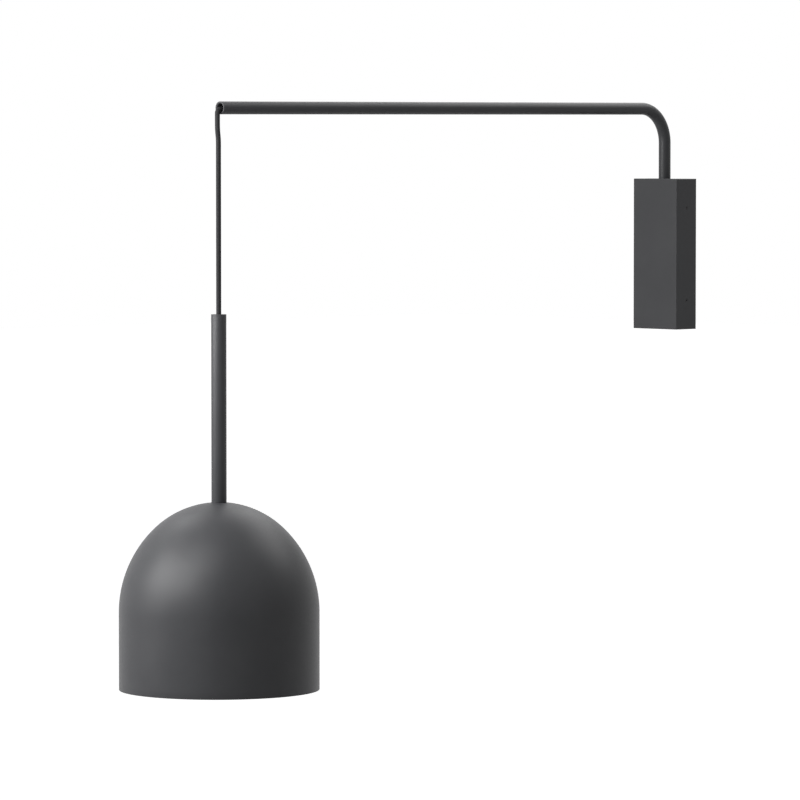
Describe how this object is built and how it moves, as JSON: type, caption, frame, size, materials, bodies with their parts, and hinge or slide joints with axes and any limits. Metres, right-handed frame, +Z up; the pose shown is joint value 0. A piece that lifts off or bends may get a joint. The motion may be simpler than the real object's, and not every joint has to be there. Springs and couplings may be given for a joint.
{
  "type": "hanging pendant wall sconce",
  "caption": "Wall light with a slim box, a long bent swing arm and a domed pendant shade that hangs from the arm's end on its cord and a straight stem.",
  "frame": {"origin": "centre of the wall bracket's back face, on the wall", "axes": "+X along the wall, +Y into the wall, +Z up; the light stands out towards -Y"},
  "size_m": [0.25, 0.9673, 0.7315],
  "materials": {
    "charcoal_steel": "matte",
    "charcoal_shade": "matte",
    "bracket_steel": "satin",
    "black_screw": "satin",
    "zinc_steel": "satin",
    "black_plastic": "satin",
    "cord_sheath": "matte",
    "block_plastic": "satin",
    "brass": "satin",
    "bulb_cap_metal": "satin",
    "bulb_insulation": "gloss",
    "bulb_white": "satin",
    "bulb_opal": "satin",
    "grommet_rubber": "matte",
    "core_brown": "satin",
    "core_blue": "satin",
    "core_green": "satin"
  },
  "bodies": {
    "wall": {"wall_bracket": "bracket_steel", "pivot_bracket": "bracket_steel", "bracket_screws": "zinc_steel", "housing": "charcoal_steel", "housing_screws": "black_screw", "upper_bush": "black_plastic", "lower_bush": "black_plastic", "terminal_block": "block_plastic", "terminal_screws": "brass", "block_screws": "zinc_steel", "earth_screw": "zinc_steel", "earth_lead": "core_green", "cable_grommet": "grommet_rubber", "box_cord": "cord_sheath", "live_core": "core_brown", "neutral_core": "core_blue", "earth_core": "core_green"},
    "arm": {"arm_tube": "charcoal_steel", "stop_collar": "zinc_steel", "collar_screws": "zinc_steel", "thrust_washer": "zinc_steel", "lock_nut": "zinc_steel", "inlet_bush": "black_plastic", "cord_anchor": "zinc_steel", "tip_bush": "black_plastic", "arm_cord": "cord_sheath"},
    "cord_fold": {"cord_fold": "cord_sheath"},
    "hanging_cord": {"hanging_cord": "cord_sheath"},
    "pendant": {"stem_tube": "charcoal_steel", "stem_bush": "black_plastic", "stem_anchor": "zinc_steel", "stem_insert": "zinc_steel", "stem_cord": "cord_sheath", "nipple": "zinc_steel", "shade_washer": "zinc_steel", "shade_nut": "zinc_steel", "shade": "charcoal_shade", "holder_cap": "black_plastic", "holder_body": "black_plastic", "contact_block": "black_plastic", "socket_shell": "brass", "centre_contact": "brass", "holder_cores": "core_brown"},
    "bulb": {"bulb_cap": "bulb_cap_metal", "bulb_insulator": "bulb_insulation", "bulb_tip": "brass", "bulb_collar": "bulb_white", "bulb_globe": "bulb_opal"}
  },
  "joints": [
    {"name": "arm_swivel", "type": "hinge", "parent": "wall", "child": "arm", "pos_m": [0, -0.02, 0.0655], "axis": [0, 0, 1], "range_deg": [-80, 80]},
    {"name": "cord_sway", "type": "hinge", "parent": "arm", "child": "cord_fold", "pos_m": [0, -0.84, 0.19305], "axis": [0, 1, 0], "range_deg": [-20, 20]},
    {"name": "cord_swing", "type": "hinge", "parent": "cord_fold", "child": "hanging_cord", "pos_m": [0, -0.8423, 0.14705], "axis": [1, 0, 0], "range_deg": [-20, 20]},
    {"name": "stem_tilt", "type": "hinge", "parent": "hanging_cord", "child": "pendant", "pos_m": [0, -0.8423, -0.056], "axis": [1, 0, 0], "range_deg": [-15, 15]},
    {"name": "bulb_unscrew", "type": "slide", "parent": "pendant", "child": "bulb", "axis": [0, 0, -1], "range_m": [0, 0.026]}
  ]
}
